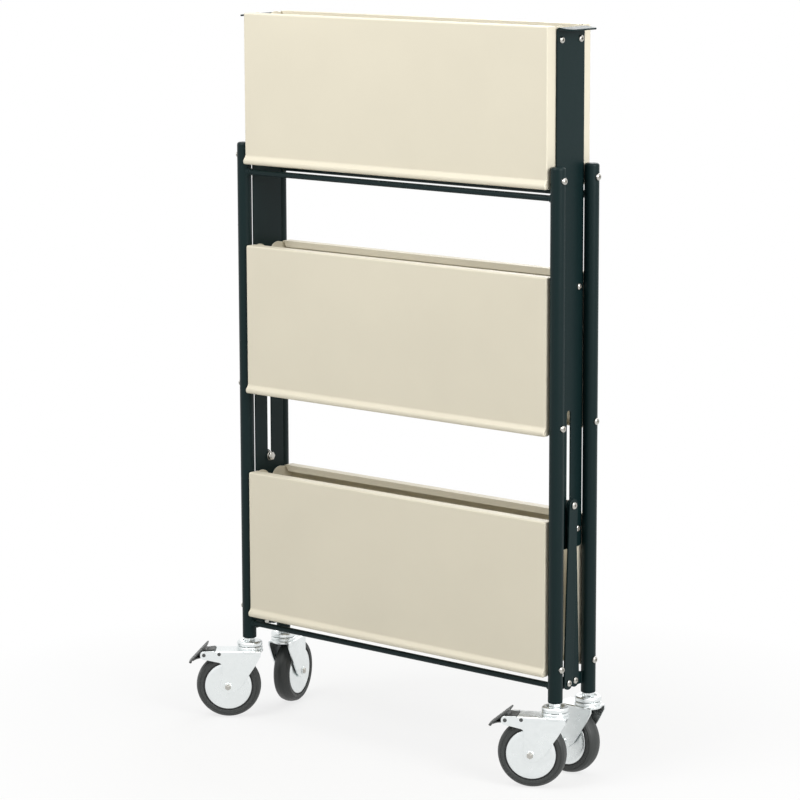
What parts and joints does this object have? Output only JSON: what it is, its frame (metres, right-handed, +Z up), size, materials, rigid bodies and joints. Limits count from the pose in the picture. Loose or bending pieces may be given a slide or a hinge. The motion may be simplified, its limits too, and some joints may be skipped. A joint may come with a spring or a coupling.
{
  "type": "folding shelf trolley",
  "caption": "Folding shelf trolley, shown folded: hinged half-shelf pans between tube leg frames, slotted end posts with links, and swivel casters with foot brakes at the front.",
  "frame": {"origin": "middle of the box that the folded trolley fills, on the floor", "axes": "+X along the shelves to the right, -Y to the front, where the braked casters are, +Z up"},
  "size_m": [0.725, 0.2348, 1.1203],
  "materials": {
    "shelf": "cream powder coat",
    "frame": "dark green-grey powder coat",
    "zinc": "bright zinc plate",
    "wheel_disc": "bright zinc plate",
    "rubber": "matt grey-black rubber",
    "pedal": "dark grey coat"
  },
  "bodies": {
    "front_frame": {"front_upper_rail": "frame", "front_lower_rail": "frame", "front_left_leg_tube": "frame", "front_left_link_bracket": "frame", "front_left_caster_stem": "zinc", "front_left_bottom_hinge_screw": "zinc", "front_left_middle_hinge_screw": "zinc", "front_left_top_hinge_screw": "zinc", "front_right_leg_tube": "frame", "front_right_link_bracket": "frame", "front_right_caster_stem": "zinc", "front_right_bottom_hinge_screw": "zinc", "front_right_middle_hinge_screw": "zinc", "front_right_top_hinge_screw": "zinc"},
    "front_bottom_shelf": {"front_bottom_half_shelf": "shelf"},
    "front_middle_shelf": {"front_middle_half_shelf": "shelf"},
    "front_top_shelf": {"front_top_half_shelf": "shelf"},
    "front_links": {"front_left_link": "frame", "front_right_link": "frame"},
    "back_frame": {"back_upper_rail": "frame", "back_lower_rail": "frame", "back_left_leg_tube": "frame", "back_left_link_bracket": "frame", "back_left_caster_stem": "zinc", "back_left_bottom_hinge_screw": "zinc", "back_left_middle_hinge_screw": "zinc", "back_left_top_hinge_screw": "zinc", "back_right_leg_tube": "frame", "back_right_link_bracket": "frame", "back_right_caster_stem": "zinc", "back_right_bottom_hinge_screw": "zinc", "back_right_middle_hinge_screw": "zinc", "back_right_top_hinge_screw": "zinc"},
    "back_bottom_shelf": {"back_bottom_half_shelf": "shelf"},
    "back_middle_shelf": {"back_middle_half_shelf": "shelf"},
    "back_top_shelf": {"back_top_half_shelf": "shelf"},
    "back_links": {"back_left_link": "frame", "back_right_link": "frame"},
    "centre_posts": {"left_post": "frame", "right_post": "frame"},
    "slot_bolts": {"left_slot_bolt": "zinc", "right_slot_bolt": "zinc"},
    "front_left_fork": {"front_left_caster_fork": "zinc", "front_left_caster_axle": "zinc"},
    "front_left_wheel": {"front_left_caster_hub": "wheel_disc", "front_left_caster_tyre": "rubber"},
    "front_right_fork": {"front_right_caster_fork": "zinc", "front_right_caster_axle": "zinc"},
    "front_right_wheel": {"front_right_caster_hub": "wheel_disc", "front_right_caster_tyre": "rubber"},
    "back_left_fork": {"back_left_caster_fork": "zinc", "back_left_caster_axle": "zinc"},
    "back_left_wheel": {"back_left_caster_hub": "wheel_disc", "back_left_caster_tyre": "rubber"},
    "back_right_fork": {"back_right_caster_fork": "zinc", "back_right_caster_axle": "zinc"},
    "back_right_wheel": {"back_right_caster_hub": "wheel_disc", "back_right_caster_tyre": "rubber"},
    "front_left_pedal": {"front_left_brake_pedal": "pedal"},
    "front_right_pedal": {"front_right_brake_pedal": "pedal"}
  },
  "joints": [
    {"name": "fold", "type": "hinge", "parent": "front_frame", "child": "front_top_shelf", "pos_m": [0.02933, -0.04606, 0.90026], "axis": [-1, 0, 0], "range_deg": [0, 90]},
    {"name": "front_middle_shelf_hinge", "type": "hinge", "parent": "front_frame", "child": "front_middle_shelf", "pos_m": [0.02933, -0.04606, 0.54026], "axis": [-1, 0, 0], "range_deg": [0, 90]},
    {"name": "front_bottom_shelf_hinge", "type": "hinge", "parent": "front_frame", "child": "front_bottom_shelf", "pos_m": [0.02933, -0.04606, 0.18025], "axis": [-1, 0, 0], "range_deg": [0, 90]},
    {"name": "posts_hinge", "type": "hinge", "parent": "front_top_shelf", "child": "centre_posts", "pos_m": [0.02933, -0.02842, 1.10025], "axis": [-1, 0, 0], "range_deg": [-90, 0]},
    {"name": "back_top_shelf_hinge", "type": "hinge", "parent": "centre_posts", "child": "back_top_shelf", "pos_m": [0.02933, 0.01638, 1.10025], "axis": [1, 0, 0], "range_deg": [0, 90]},
    {"name": "back_middle_shelf_hinge", "type": "hinge", "parent": "centre_posts", "child": "back_middle_shelf", "pos_m": [0.02933, 0.01638, 0.74025], "axis": [1, 0, 0], "range_deg": [0, 90]},
    {"name": "back_bottom_shelf_hinge", "type": "hinge", "parent": "centre_posts", "child": "back_bottom_shelf", "pos_m": [0.02933, 0.01638, 0.38026], "axis": [1, 0, 0], "range_deg": [0, 90]},
    {"name": "back_frame_hinge", "type": "hinge", "parent": "back_top_shelf", "child": "back_frame", "pos_m": [0.02933, 0.03402, 0.90026], "axis": [1, 0, 0], "range_deg": [-90, 0]},
    {"name": "front_links_hinge", "type": "hinge", "parent": "front_frame", "child": "front_links", "pos_m": [0.02933, -0.01602, 0.15266], "axis": [-1, 0, 0], "range_deg": [0, 43.99]},
    {"name": "back_links_hinge", "type": "hinge", "parent": "back_frame", "child": "back_links", "pos_m": [0.02933, 0.00398, 0.15266], "axis": [1, 0, 0], "range_deg": [0, 43.99]},
    {"name": "slot_bolts_slide", "type": "slide", "parent": "centre_posts", "child": "slot_bolts", "axis": [0, 0, 1], "range_m": [0, 0.1359]},
    {"name": "front_left_swivel", "type": "hinge", "parent": "front_frame", "child": "front_left_fork", "pos_m": [-0.27867, -0.04606, 0], "axis": [0, 0, 1], "range_deg": [-39, 141]},
    {"name": "front_left_wheel_spin", "type": "hinge", "parent": "front_left_fork", "child": "front_left_wheel", "pos_m": [-0.30509, -0.06746, 0.05155], "axis": [0.6293, -0.7771, 0], "continuous": true},
    {"name": "front_left_pedal_hinge", "type": "hinge", "parent": "front_left_fork", "child": "front_left_pedal", "pos_m": [-0.33462, -0.09137, 0.10325], "axis": [0.6293, -0.7771, 0], "range_deg": [-7.5, 12.5]},
    {"name": "front_right_swivel", "type": "hinge", "parent": "front_frame", "child": "front_right_fork", "pos_m": [0.33733, -0.04606, 0], "axis": [0, 0, 1], "range_deg": [-28, 152]},
    {"name": "front_right_wheel_spin", "type": "hinge", "parent": "front_right_fork", "child": "front_right_wheel", "pos_m": [0.30731, -0.06202, 0.05155], "axis": [0.4695, -0.8829, 0], "continuous": true},
    {"name": "front_right_pedal_hinge", "type": "hinge", "parent": "front_right_fork", "child": "front_right_pedal", "pos_m": [0.27376, -0.07986, 0.10325], "axis": [0.4695, -0.8829, 0], "range_deg": [0, 20]},
    {"name": "back_left_swivel", "type": "hinge", "parent": "back_frame", "child": "back_left_fork", "pos_m": [-0.27867, 0.03402, 0], "axis": [0, 0, 1], "range_deg": [-107, 88]},
    {"name": "back_left_wheel_spin", "type": "hinge", "parent": "back_left_fork", "child": "back_left_wheel", "pos_m": [-0.28861, 0.06653, 0.05155], "axis": [-0.9563, -0.2924, 0], "continuous": true},
    {"name": "back_right_swivel", "type": "hinge", "parent": "back_frame", "child": "back_right_fork", "pos_m": [0.33733, 0.03402, 0], "axis": [0, 0, 1], "range_deg": [-181, 14]},
    {"name": "back_right_wheel_spin", "type": "hinge", "parent": "back_right_fork", "child": "back_right_wheel", "pos_m": [0.30334, 0.03343, 0.05155], "axis": [0.0175, -0.9998, 0], "continuous": true}
  ],
  "couplings": [
    {"joint": "front_middle_shelf_hinge", "follows": "fold", "ratio": 1},
    {"joint": "front_bottom_shelf_hinge", "follows": "fold", "ratio": 1},
    {"joint": "posts_hinge", "follows": "fold", "ratio": -1},
    {"joint": "back_top_shelf_hinge", "follows": "fold", "ratio": 1},
    {"joint": "back_middle_shelf_hinge", "follows": "fold", "ratio": 1},
    {"joint": "back_bottom_shelf_hinge", "follows": "fold", "ratio": 1},
    {"joint": "back_frame_hinge", "follows": "fold", "ratio": -1},
    {"joint": "front_links_hinge", "follows": "fold", "ratio": 0.48879},
    {"joint": "back_links_hinge", "follows": "fold", "ratio": 0.48879},
    {"joint": "slot_bolts_slide", "follows": "fold", "m_per_rad": 0.086516}
  ]
}
